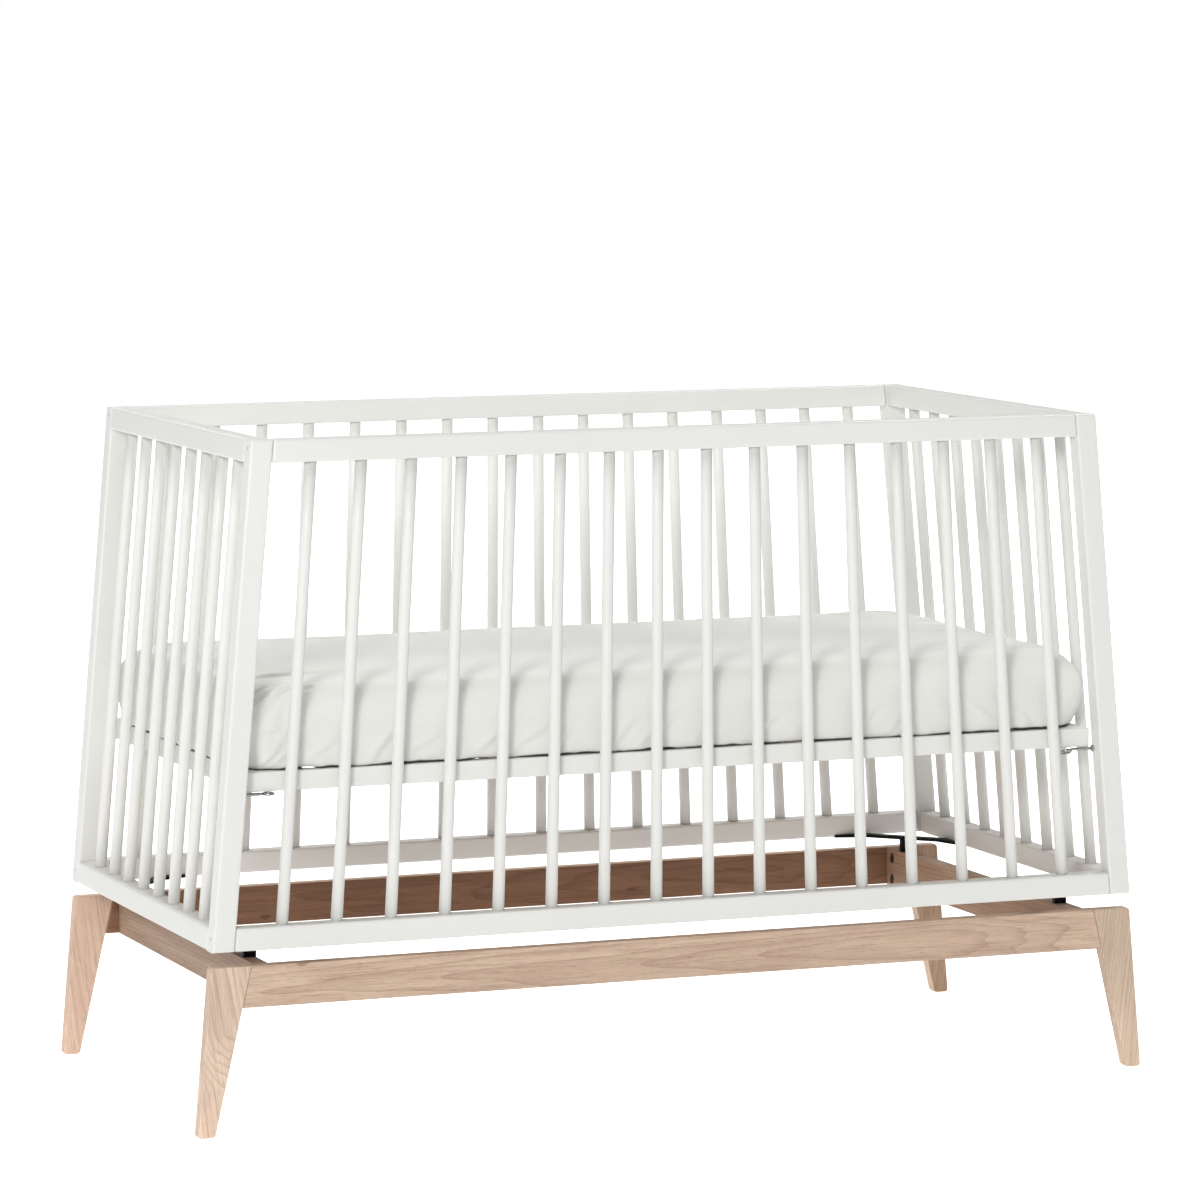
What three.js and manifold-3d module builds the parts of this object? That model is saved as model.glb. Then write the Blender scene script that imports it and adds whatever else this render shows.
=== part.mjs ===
// A baby crib: a white barred body with leaning ends, standing on an oak base
// frame with splayed legs, with a slatted mattress base and its mattress.
// Millimetres, +Z up. X runs along the crib, -Y is the front, and the floor is Z = 0.
import * as THREE from 'three';
import { mergeVertices } from 'three/addons/utils/BufferGeometryUtils.js';
import Module from 'manifold-3d';

const wasm = await Module();
wasm.setup();

// ---- driving dimensions ----------------------------------------------------
const HEIGHT = 895;                 // floor to the top of the top rails
const BODY_BOTTOM = 240;            // underside of the white body
const LENGTH_AT_TOP = 1190;         // white body, over the posts, at HEIGHT
const LENGTH_AT_BOTTOM = 1305;      // the same at BODY_BOTTOM
const DEPTH = 652;                  // white body, front to back
const POST_WIDTH = 30;              // posts along X
const RAIL_THICKNESS = 28;          // posts along Y, and all white rails
const RAIL_HEIGHT = 30;
const GAP = 0.3;                    // between pieces that touch
const ROUND = 3;                    // rounded edges of the white wood

const DOWEL_RADIUS = 7.75;
const LONG_DOWELS = 16;             // on the front and on the back
const LONG_PITCH_TOP = 67.9;
const LONG_PITCH_BOTTOM = 74.3;
const END_DOWELS = 8;               // on each end
const END_PITCH = 67.9;
const SOCKET_CLEARANCE = 0.6;       // on the radius, around a dowel's top
const SOCKET_DEPTH = 14;

const BASE_TOP = 220;               // top of the oak frame
const BASE_RAIL_HEIGHT = 54;
const BOARD = 20;                   // thickness of every oak board
const LEG_PLANE = 322;              // outer face of the front and back boards, along Y
const LEG_OUTER_TOP = 653;          // leg edges along X, at BASE_TOP and on the floor
const LEG_INNER_TOP = 599;
const LEG_OUTER_FOOT = 672;
const LEG_INNER_FOOT = 650;
const OAK_ROUND = 1.2;
const FOOT_CHAMFER = 3;             // also at the outer top corner of a leg
const APRON_OUTER = 592;            // outer face of an end apron, along X
const NUT_RADIUS = 7.6;             // cross nuts in the aprons
const NUT_DEPTH = 13;
const NUT_INSET = 17.7;             // from the end of the apron
const NUT_LEVELS = [175.5, 206.5];

const FRAME_LENGTH = 1200;          // mattress base
const FRAME_DEPTH = 604;
const FRAME_BOTTOM = 441.5;
const FRAME_HEIGHT = 25;
const FRAME_RAIL = 22;
const SLATS = 11;
const SLAT_WIDTH = 60;
const SLAT_THICKNESS = 10;
const SLAT_FIRST = 545;             // centre of the last slat, along X

const MATTRESS = { length: 1200, depth: 592, height: 110, corner: 55, edge: 26 };

const WIRE_RADIUS = 2.3;            // eye screws under the mattress base
const EYE_RADIUS = 6.4;
const EYE_REACH = { left: 35.3, right: 39.6 };   // from the post to the middle of the eye
const EYE_PLANE = 303.5;            // axis of the screws, along Y
const FLANGE = { radius: 4.6, thickness: 2.2 };

const BOLT = { head: 2.4, headHeight: 5, shank: 1.8, key: 1.3, length: 52, sink: 2 };
const BOLT_CLEARANCE = 0.3;
const BOLT_LEVELS = { upper: HEIGHT - 11, lower: BODY_BOTTOM + 16.5 };

// A corner bracket is a strap across the corner of the body, with a foot let into the underside of
// each rail. near and far are x + y along the two edges of the strap.
const STRAP = {
  thickness: 4.2, letIn: 3.2, near: 815, far: 836, footDepth: 18, footLength: 32, flare: 32,
};
const COLUMN = { x: [572, 589.5], y: [249.5, 256.5] };

// ---- materials -------------------------------------------------------------
const finish = (color, roughness, metalness = 0) => ({ color, roughness, metalness });
const PAINT = finish(0xecece7, 0.45);
const OAK = finish(0xcaa98c, 0.6);
const SLAT_WOOD = finish(0xb98f6d, 0.65);
const BLACK_STEEL = finish(0x151515, 0.5, 0.6);
const ZINC = finish(0x8d8f90, 0.35, 0.9);
const SHEET = finish(0xe8e8e3, 0.95);

// ---- solids ----------------------------------------------------------------
function solid(geometry) {
  const g = geometry.clone();
  g.deleteAttribute('normal');
  g.deleteAttribute('uv');
  const merged = mergeVertices(g, 1e-4);
  return new wasm.Manifold(new wasm.Mesh({
    numProp: 3,
    vertProperties: new Float32Array(merged.attributes.position.array),
    triVerts: new Uint32Array(merged.index.array),
  }));
}

function fromSolid(manifold) {
  const mesh = manifold.getMesh();
  const g = new THREE.BufferGeometry();
  g.setAttribute('position', new THREE.BufferAttribute(new Float32Array(mesh.vertProperties), 3));
  g.setIndex(new THREE.BufferAttribute(new Uint32Array(mesh.triVerts), 1));
  const flat = g.toNonIndexed();
  flat.computeVertexNormals();
  return flat;
}

// geometry with others added to it, and then others cut from it
function combine(geometry, added, cut = []) {
  let result = solid(geometry);
  for (const other of added) result = result.add(solid(other));
  for (const other of cut) result = result.subtract(solid(other));
  return fromSolid(result);
}

function shapeOf(points) {
  return new THREE.Shape(points.map(([x, y]) => new THREE.Vector2(x, y)));
}

function roundedShape(points, radius) {
  const shape = new THREE.Shape();
  const corners = points.map(([x, y]) => new THREE.Vector2(x, y));
  corners.forEach((corner, i) => {
    const before = corners[(i + corners.length - 1) % corners.length];
    const after = corners[(i + 1) % corners.length];
    const start = corner.clone().addScaledVector(before.clone().sub(corner).normalize(), radius);
    const end = corner.clone().addScaledVector(after.clone().sub(corner).normalize(), radius);
    if (i === 0) shape.moveTo(start.x, start.y);
    else shape.lineTo(start.x, start.y);
    shape.quadraticCurveTo(corner.x, corner.y, end.x, end.y);
  });
  shape.closePath();
  return shape;
}

// an outline in X and Z, run along Y from y0 to y1, with its end edges rounded
function board(shape, y0, y1, round, segments = 2) {
  const g = new THREE.ExtrudeGeometry(shape, {
    depth: y1 - y0 - 2 * round,
    bevelEnabled: true,
    bevelThickness: round,
    bevelSize: round,
    bevelOffset: -round,
    bevelSegments: segments,
    curveSegments: 2,
  });
  return g.rotateX(Math.PI / 2).translate(0, y1 - round, 0);
}

// a round bar between two points
function bar(from, to, radius, sides = 14) {
  const a = new THREE.Vector3(...from);
  const b = new THREE.Vector3(...to);
  const g = new THREE.CylinderGeometry(radius, radius, a.distanceTo(b), sides);
  const along = b.clone().sub(a).normalize();
  g.applyQuaternion(new THREE.Quaternion().setFromUnitVectors(new THREE.Vector3(0, 1, 0), along));
  return g.translate(...a.add(b).multiplyScalar(0.5).toArray());
}

function block(x0, x1, y0, y1, z0, z1) {
  const g = new THREE.BoxGeometry(x1 - x0, y1 - y0, z1 - z0);
  return g.translate((x0 + x1) / 2, (y0 + y1) / 2, (z0 + z1) / 2);
}

// ---- the leaning ends ------------------------------------------------------
function halfLength(z) {
  const t = (z - BODY_BOTTOM) / (HEIGHT - BODY_BOTTOM);
  return (LENGTH_AT_BOTTOM + (LENGTH_AT_TOP - LENGTH_AT_BOTTOM) * t) / 2;
}

// corners in X and Z of a strip that follows the lean, width thick
function leaning(side, width, z0, z1) {
  const points = [
    [side * halfLength(z0), z0], [side * halfLength(z1), z1],
    [side * (halfLength(z1) - width), z1], [side * (halfLength(z0) - width), z0],
  ];
  return side > 0 ? points : points.reverse();
}

const outerY = DEPTH / 2;
const innerY = outerY - RAIL_THICKNESS;
const midY = outerY - RAIL_THICKNESS / 2;
const span = (side, near, far) => (side > 0 ? [near, far] : [-far, -near]);

// ---- assembly --------------------------------------------------------------
const crib = new THREE.Group();
crib.name = 'baby_crib';

function add(name, geometry, look) {
  const mesh = new THREE.Mesh(geometry, new THREE.MeshStandardMaterial(look));
  mesh.name = name;
  crib.add(mesh);
}

const LONG_SIDES = [['front', -1], ['back', 1]];
const ENDS = [['left', -1], ['right', 1]];
const LEVELS = Object.entries(BOLT_LEVELS);

// holes for the bolts that join a post to the long rails, cut from both
function boltHole(endSide, longSide, z) {
  const face = halfLength(z);
  const head = BOLT.head + BOLT_CLEARANCE;
  const seat = face - BOLT.sink - BOLT.headHeight - BOLT_CLEARANCE;
  const tip = face - BOLT.sink - BOLT.length - 2 * BOLT_CLEARANCE;
  const y = longSide * midY;
  return [
    bar([endSide * (face + 5), y, z], [endSide * seat, y, z], head, 12),
    bar([endSide * (seat + 1), y, z], [endSide * tip, y, z], BOLT.shank + BOLT_CLEARANCE, 8),
  ];
}

function bolt(endSide, longSide, z) {
  const face = halfLength(z) - BOLT.sink;
  const y = longSide * midY;
  const under = face - BOLT.headHeight;
  const key = bar([endSide * (face + 1), y, z], [endSide * (face - 2.4), y, z], BOLT.key, 6);
  const head = bar([endSide * face, y, z], [endSide * under, y, z], BOLT.head, 12);
  const shank = bar([endSide * (under + 1), y, z], [endSide * (face - BOLT.length), y, z],
    BOLT.shank, 8);
  return combine(head, [shank], [key]);
}

for (const [longName, longSide] of LONG_SIDES) {
  for (const [endName, endSide] of ENDS) {
    const [y0, y1] = span(longSide, innerY, outerY);
    const outline = shapeOf(leaning(endSide, POST_WIDTH, BODY_BOTTOM, HEIGHT));
    const holes = LEVELS.flatMap(([, z]) => boltHole(endSide, longSide, z));
    const corner = `${longName}_${endName}`;
    add(`post_${corner}`, combine(board(outline, y0, y1, ROUND), [], holes), PAINT);
    for (const [level, z] of LEVELS) {
      add(`bolt_${level}_${corner}`, bolt(endSide, longSide, z), ZINC);
    }
  }
}

// long rails, between the posts, with their dowels fanning out towards the bottom
function longDowel(longSide, i, z) {
  const t = (z - BODY_BOTTOM) / (HEIGHT - BODY_BOTTOM);
  const pitch = LONG_PITCH_BOTTOM + (LONG_PITCH_TOP - LONG_PITCH_BOTTOM) * t;
  return [(i - (LONG_DOWELS - 1) / 2) * pitch, longSide * midY, z];
}

function endDowel(endSide, i, z) {
  const x = endSide * (halfLength(z) - RAIL_THICKNESS / 2);
  return [x, (i - (END_DOWELS - 1) / 2) * END_PITCH, z];
}

const topRailBottom = HEIGHT - RAIL_HEIGHT;
const bottomRailTop = BODY_BOTTOM + RAIL_HEIGHT;
const dowelFoot = BODY_BOTTOM + RAIL_HEIGHT / 2;
const dowelTop = topRailBottom + SOCKET_DEPTH - 1;

function dowels(place, side, count) {
  return Array.from({ length: count }, (_, i) =>
    bar(place(side, i, dowelFoot), place(side, i, dowelTop), DOWEL_RADIUS));
}

function sockets(place, side, count) {
  return Array.from({ length: count }, (_, i) =>
    bar(place(side, i, topRailBottom - 5), place(side, i, topRailBottom + SOCKET_DEPTH),
      DOWEL_RADIUS + SOCKET_CLEARANCE));
}

function betweenPosts(z0, z1) {
  const half = (z) => halfLength(z) - POST_WIDTH - GAP;
  return roundedShape([[-half(z0), z0], [half(z0), z0], [half(z1), z1], [-half(z1), z1]], ROUND);
}

// the outline of a corner bracket's strap in X and Y; its pocket in the rails is grown by a little
function strap(endSide, longSide, grow = 0) {
  const longRail = innerY;
  const endRail = halfLength(BODY_BOTTOM) - RAIL_THICKNESS;
  const near = STRAP.near - grow * Math.SQRT2;
  const far = STRAP.far + grow * Math.SQRT2;
  const y = longRail + STRAP.footDepth + grow;
  const x = endRail + STRAP.footDepth + grow;
  const points = [
    [far - y - STRAP.footLength - grow, y],
    [far - y - STRAP.footLength - grow, longRail - 1],
    [near - longRail + STRAP.flare / 2, longRail - STRAP.flare / 2],
    [endRail - STRAP.flare / 2, near - endRail + STRAP.flare / 2],
    [endRail - 1, far - x - STRAP.footLength - grow],
    [x, far - x - STRAP.footLength - grow],
    [x, far - x],
    [far - y, y],
  ].map(([px, py]) => [endSide * px, longSide * py]);
  return shapeOf(endSide * longSide > 0 ? points : points.reverse());
}

function strapPlate(endSide, longSide, z0, z1, grow) {
  const plate = new THREE.ExtrudeGeometry(strap(endSide, longSide, grow),
    { depth: z1 - z0, bevelEnabled: false });
  return plate.translate(0, 0, z0);
}

function pocket(endSide, longSide) {
  return strapPlate(endSide, longSide, BODY_BOTTOM - 1, BODY_BOTTOM + STRAP.letIn + GAP, GAP);
}

for (const [name, side] of LONG_SIDES) {
  const [y0, y1] = span(side, innerY, outerY);
  const holes = (z) => ENDS.flatMap(([, endSide]) => boltHole(endSide, side, z));
  const upper = board(betweenPosts(topRailBottom, HEIGHT), y0, y1, ROUND);
  const lower = board(betweenPosts(BODY_BOTTOM, bottomRailTop), y0, y1, ROUND);
  add(`top_rail_${name}`, combine(upper, [],
    [...sockets(longDowel, side, LONG_DOWELS), ...holes(BOLT_LEVELS.upper)]), PAINT);
  const pockets = ENDS.map(([, endSide]) => pocket(endSide, side));
  add(`bottom_rail_and_dowels_${name}`, combine(lower,
    dowels(longDowel, side, LONG_DOWELS), [...holes(BOLT_LEVELS.lower), ...pockets]), PAINT);
}

for (const [name, side] of ENDS) {
  const y = innerY - GAP;
  const section = (z0, z1) => roundedShape(leaning(side, RAIL_THICKNESS, z0, z1), ROUND);
  const upper = board(section(topRailBottom, HEIGHT), -y, y, 0.8, 1);
  const lower = board(section(BODY_BOTTOM, bottomRailTop), -y, y, 0.8, 1);
  add(`top_rail_${name}`, combine(upper, [], sockets(endDowel, side, END_DOWELS)), PAINT);
  const pockets = LONG_SIDES.map(([, longSide]) => pocket(side, longSide));
  add(`bottom_rail_and_dowels_${name}`, combine(lower,
    dowels(endDowel, side, END_DOWELS), pockets), PAINT);
}

// ---- oak base --------------------------------------------------------------
const legEdge = (top, foot, z) => top + (foot - top) * (1 - z / BASE_TOP);
const baseRailBottom = BASE_TOP - BASE_RAIL_HEIGHT;
const boardInner = LEG_PLANE - BOARD;

for (const [longName, longSide] of LONG_SIDES) {
  const [y0, y1] = span(longSide, boardInner, LEG_PLANE);
  const half = (z) => legEdge(LEG_INNER_TOP, LEG_INNER_FOOT, z) - GAP;
  const rail = shapeOf([
    [-half(baseRailBottom), baseRailBottom], [half(baseRailBottom), baseRailBottom],
    [half(BASE_TOP), BASE_TOP], [-half(BASE_TOP), BASE_TOP],
  ]);
  add(`base_rail_${longName}`, board(rail, y0, y1, OAK_ROUND), OAK);
  for (const [endName, endSide] of ENDS) {
    const outer = (z) => legEdge(LEG_OUTER_TOP, LEG_OUTER_FOOT, z);
    const inner = (z) => legEdge(LEG_INNER_TOP, LEG_INNER_FOOT, z);
    const high = BASE_TOP - FOOT_CHAMFER;
    const points = [
      [LEG_INNER_FOOT + FOOT_CHAMFER, 0], [LEG_OUTER_FOOT - FOOT_CHAMFER, 0],
      [outer(FOOT_CHAMFER), FOOT_CHAMFER], [outer(high), high],
      [LEG_OUTER_TOP - FOOT_CHAMFER, BASE_TOP], [LEG_INNER_TOP, BASE_TOP],
      [inner(FOOT_CHAMFER), FOOT_CHAMFER],
    ].map(([x, z]) => [endSide * x, z]);
    const leg = shapeOf(endSide > 0 ? points : points.reverse());
    add(`leg_${longName}_${endName}`, board(leg, y0, y1, OAK_ROUND), OAK);
  }
}

function crossNut(endSide, longSide, z, radius, depth) {
  const inner = APRON_OUTER - BOARD;
  const y = longSide * (boardInner - NUT_INSET);
  return bar([endSide * (inner - (radius > NUT_RADIUS ? 5 : -1.5)), y, z],
    [endSide * (inner + depth), y, z], radius, 14);
}

for (const [endName, endSide] of ENDS) {
  const [x0, x1] = span(endSide, APRON_OUTER - BOARD, APRON_OUTER);
  const outline = shapeOf([[x0, baseRailBottom], [x1, baseRailBottom],
    [x1, BASE_TOP], [x0, BASE_TOP]]);
  const length = boardInner - GAP;
  const holes = LONG_SIDES.flatMap(([, longSide]) => NUT_LEVELS.map((z) =>
    crossNut(endSide, longSide, z, NUT_RADIUS + 0.4, NUT_DEPTH + 0.4)));
  add(`apron_${endName}`, combine(board(outline, -length, length, OAK_ROUND), [], holes), OAK);
  for (const [longName, longSide] of LONG_SIDES) {
    NUT_LEVELS.forEach((z, i) => {
      const nut = crossNut(endSide, longSide, z, NUT_RADIUS, NUT_DEPTH);
      add(`cross_nut_${['lower', 'upper'][i]}_${longName}_${endName}`, nut, BLACK_STEEL);
    });
  }
}

// steel corner brackets that hold the body above the base
for (const [longName, longSide] of LONG_SIDES) {
  for (const [endName, endSide] of ENDS) {
    const top = BODY_BOTTOM + STRAP.letIn;
    const plate = strapPlate(endSide, longSide, top - STRAP.thickness, top, 0);
    const column = block(...span(endSide, ...COLUMN.x), ...span(longSide, ...COLUMN.y),
      BASE_TOP + GAP, BODY_BOTTOM + 1);
    add(`bracket_${longName}_${endName}`, combine(plate, [column]), BLACK_STEEL);
  }
}

// ---- mattress base ---------------------------------------------------------
const frameTop = FRAME_BOTTOM + FRAME_HEIGHT;
const frameY = FRAME_DEPTH / 2;
const frameX = FRAME_LENGTH / 2;
const frameShape = (x0, x1) => shapeOf([[x0, FRAME_BOTTOM], [x1, FRAME_BOTTOM],
  [x1, frameTop], [x0, frameTop]]);

for (const [name, side] of LONG_SIDES) {
  add(`mattress_base_rail_${name}`,
    board(frameShape(-frameX, frameX), ...span(side, frameY - FRAME_RAIL, frameY), 1, 1), PAINT);
}
const betweenRails = frameY - FRAME_RAIL - GAP;
for (const [name, side] of ENDS) {
  const shape = frameShape(...span(side, frameX - FRAME_RAIL, frameX));
  add(`mattress_base_rail_${name}`, board(shape, -betweenRails, betweenRails, 1, 1), PAINT);
}
for (let i = 0; i < SLATS; i += 1) {
  const x = -SLAT_FIRST + (2 * SLAT_FIRST * i) / (SLATS - 1);
  const shape = shapeOf([
    [x - SLAT_WIDTH / 2, frameTop - SLAT_THICKNESS], [x + SLAT_WIDTH / 2, frameTop - SLAT_THICKNESS],
    [x + SLAT_WIDTH / 2, frameTop], [x - SLAT_WIDTH / 2, frameTop],
  ]);
  const name = `mattress_base_slat_${String(i + 1).padStart(2, '0')}`;
  add(name, board(shape, -betweenRails, betweenRails, 0.8, 1), SLAT_WOOD);
}

// eye screws in the posts: the eyes lie flat on the left, and hang a little on the right
const screwZ = FRAME_BOTTOM - GAP - WIRE_RADIUS;
const EYE_TILT = { left: 0, right: 0.5 };
for (const [longName, longSide] of LONG_SIDES) {
  for (const [endName, endSide] of ENDS) {
    const face = halfLength(screwZ) - POST_WIDTH - GAP - 0.4;
    const eyeX = face - EYE_REACH[endName];
    const at = (x) => [endSide * x, longSide * EYE_PLANE, screwZ];
    const shank = bar(at(face - FLANGE.thickness / 2), at(eyeX + EYE_RADIUS - 0.5), WIRE_RADIUS, 10);
    const flange = bar(at(face), at(face - FLANGE.thickness), FLANGE.radius);
    const tilt = EYE_TILT[endName];
    const eye = new THREE.TorusGeometry(EYE_RADIUS, WIRE_RADIUS * 0.85, 8, 18);
    eye.rotateX(longSide * tilt);
    eye.translate(endSide * eyeX, longSide * EYE_PLANE, screwZ - EYE_RADIUS * Math.sin(tilt));
    add(`eye_screw_${longName}_${endName}`, combine(shank, [flange, eye]), ZINC);
  }
}

// ---- mattress, plain, in its fitted sheet ------------------------------------
const mx = MATTRESS.length / 2;
const my = MATTRESS.depth / 2;
const outline = roundedShape([[-mx, -my], [mx, -my], [mx, my], [-mx, my]], MATTRESS.corner);
const mattress = new THREE.ExtrudeGeometry(outline, {
  depth: MATTRESS.height - 2 * MATTRESS.edge,
  bevelEnabled: true,
  bevelThickness: MATTRESS.edge,
  bevelSize: MATTRESS.edge,
  bevelOffset: -MATTRESS.edge,
  bevelSegments: 4,
  curveSegments: 5,
});
add('mattress', mattress.translate(0, 0, frameTop + GAP + MATTRESS.edge), SHEET);

export default crib;
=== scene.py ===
import math

import bmesh
import bpy
import numpy as np
from mathutils import Matrix, Vector


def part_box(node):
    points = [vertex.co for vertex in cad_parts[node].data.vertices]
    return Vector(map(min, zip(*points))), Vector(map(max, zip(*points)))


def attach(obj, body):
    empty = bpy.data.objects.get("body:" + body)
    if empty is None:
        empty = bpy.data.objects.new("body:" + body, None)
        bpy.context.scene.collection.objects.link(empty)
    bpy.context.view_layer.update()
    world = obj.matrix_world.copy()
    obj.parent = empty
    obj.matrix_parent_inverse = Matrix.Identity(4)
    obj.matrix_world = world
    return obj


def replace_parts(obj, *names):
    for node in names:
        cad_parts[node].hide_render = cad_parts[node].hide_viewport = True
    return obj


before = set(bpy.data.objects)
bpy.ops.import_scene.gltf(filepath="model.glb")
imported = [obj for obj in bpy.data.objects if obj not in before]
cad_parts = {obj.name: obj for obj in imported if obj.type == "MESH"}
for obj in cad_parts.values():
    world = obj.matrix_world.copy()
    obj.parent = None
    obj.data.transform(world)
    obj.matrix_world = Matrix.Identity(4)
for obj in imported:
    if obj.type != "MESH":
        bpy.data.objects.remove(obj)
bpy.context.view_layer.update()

# ---- the CAD's driving dimensions, in metres ----
HEIGHT, BODY_BOTTOM = 0.895, 0.240
LENGTH_AT_TOP, LENGTH_AT_BOTTOM = 1.190, 1.305
DEPTH, POST_WIDTH, RAIL_THICKNESS, RAIL_HEIGHT = 0.652, 0.030, 0.028, 0.030
GAP, ROUND = 0.0003, 0.003
DOWEL_RADIUS, LONG_DOWELS, END_DOWELS = 0.00775, 16, 8
LONG_PITCH_TOP, LONG_PITCH_BOTTOM, END_PITCH = 0.0679, 0.0743, 0.0679
WIRE, EYE_RADIUS = 0.0023, 0.0064
SCREW_REACH = {"left": 0.0353, "right": 0.0396}
SCREW_Y, SCREW_Z = 0.3035, 0.4389
EYE_TILT = {"left": 0.0, "right": 0.5}
STRAP_LET_IN, STRAP_NEAR, STRAP_FAR = 0.0032, 0.815, 0.836
FOOT_DEPTH, FOOT_LENGTH, STRAP_FLARE = 0.018, 0.032, 0.032
LONG_SIDES = (("front", -1), ("back", 1))
ENDS = (("left", -1), ("right", 1))


def half_length(z):
    t = (z - BODY_BOTTOM) / (HEIGHT - BODY_BOTTOM)
    return (LENGTH_AT_BOTTOM + (LENGTH_AT_TOP - LENGTH_AT_BOTTOM) * t) / 2


# ---- materials ----
class Shader:
    """A new material with a Principled shader, and short ways to add nodes to it."""

    def __init__(self, name, roughness, **sockets):
        self.material = bpy.data.materials.new(name)
        self.material.use_nodes = True
        self.tree = self.material.node_tree
        self.bsdf = self.tree.nodes["Principled BSDF"]
        self.bsdf.inputs["Roughness"].default_value = roughness
        for socket, value in sockets.items():
            self.bsdf.inputs[socket.replace("_", " ")].default_value = value
        self.place = self.add("ShaderNodeTexCoord").outputs["Object"]

    def add(self, kind, inputs=None, **settings):
        node = self.tree.nodes.new(kind)
        for key, value in settings.items():
            setattr(node, key, value)
        for key, value in (inputs or {}).items():
            if isinstance(value, bpy.types.NodeSocket):
                self.tree.links.new(value, node.inputs[key])
            else:
                node.inputs[key].default_value = value
        return node

    def height(self):
        return self.add("ShaderNodeSeparateXYZ", {0: self.place}).outputs[2]

    def math(self, operation, a, b=0.0):
        return self.add("ShaderNodeMath", {0: a, 1: b}, operation=operation).outputs[0]

    def mapped(self, scale, rotation=(0, 0, 0), offset=(0, 0, 0), source=None):
        inputs = {"Vector": source or self.place, "Scale": scale, "Rotation": rotation,
                  "Location": offset}
        return self.add("ShaderNodeMapping", inputs).outputs[0]

    def noise(self, vector, scale, detail=2.0, roughness=0.5, output="Fac"):
        inputs = {"Vector": vector, "Scale": scale, "Detail": detail, "Roughness": roughness}
        return self.add("ShaderNodeTexNoise", inputs).outputs[output]

    def ramp(self, fac, low, high, to_low=0.0, to_high=1.0):
        inputs = {"Value": fac, "From Min": low, "From Max": high, "To Min": to_low,
                  "To Max": to_high}
        return self.add("ShaderNodeMapRange", inputs).outputs[0]

    def mix(self, fac, a, b, blend="MIX"):
        node = self.add("ShaderNodeMix", data_type="RGBA", blend_type=blend)
        for socket, value in ((node.inputs[0], fac), (node.inputs[6], a), (node.inputs[7], b)):
            if isinstance(value, bpy.types.NodeSocket):
                self.tree.links.new(value, socket)
            else:
                socket.default_value = value if isinstance(value, float) else (*value, 1.0)
        return node.outputs[2]

    def multiply(self, color, by):
        return self.mix(1.0, color, by, "MULTIPLY")

    def color(self, value):
        self.tree.links.new(value, self.bsdf.inputs["Base Color"])

    def roughness(self, value):
        self.tree.links.new(value, self.bsdf.inputs["Roughness"])

    def bump(self, height, distance, strength):
        node = self.add("ShaderNodeBump", {"Height": height, "Distance": distance,
                                           "Strength": strength})
        self.tree.links.new(node.outputs[0], self.bsdf.inputs["Normal"])


# painted shade: how much darker the oak is made on its faces turned into the crib, where it lies in
# shade
RAIL_INSIDE_SHADE, APRON_INSIDE_SHADE, LEG_INSIDE_SHADE = (0.39, 0.278, 0.216), (0.90, 0.78, 0.70), (0.68, 0.60, 0.53)
# texture scales that draw a grain out along one axis
ALONG = {"X": (1.0, 12.0, 12.0), "Y": (12.0, 1.0, 12.0), "Z": (12.0, 12.0, 1.0)}
RINGS_PER_METRE, RING_SWAY = 210.0, 0.030
FOOT_LIGHT_FADES_AT = 0.17                   # the height where the painted light on the legs' feet ends
BACK_LIGHT_LEVELS = (0.48, 0.64)         # where the painted light on the back dowels goes from low to high


def stretched(axis, across, along):
    """Like ALONG, with other scales across the grain and along it."""
    return tuple(along if letter == axis else across for letter in "XYZ")


def painted(name, axis, low=1.0, high=1.0):
    """White satin paint on close-grained wood: the grain barely telegraphs through. low and high
    are painted light: the paint is made low times as light under the mattress and high times as
    light above it."""
    s = Shader(name, 0.42, Specular_IOR_Level=0.42, Coat_Weight=0.12, Coat_Roughness=0.35)
    grain = s.noise(s.mapped(ALONG[axis]), 26.0, 5.0, 0.62)
    patch = s.noise(s.place, 5.0, 2.0)
    tone = s.mix(s.ramp(patch, 0.3, 0.7), (0.762, 0.764, 0.732), (0.786, 0.788, 0.758))
    face = s.mix(s.ramp(grain, 0.35, 0.75, 0.0, 0.10), tone, (0.68, 0.672, 0.635))
    # painted light: the paint is made lighter by height, low and high times as light
    if (low, high) != (1.0, 1.0):
        face = s.multiply(face, s.ramp(s.height(), *BACK_LIGHT_LEVELS, low, high))
    s.color(face)
    s.roughness(s.ramp(s.noise(s.place, 40.0, 3.0), 0.3, 0.7, 0.36, 0.48))
    fine = s.noise(s.place, 900.0, 2.0)
    s.bump(s.math("ADD", s.math("MULTIPLY", grain, 0.8), s.math("MULTIPLY", fine, 0.2)), 0.00025, 0.5)
    return s.material


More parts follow.
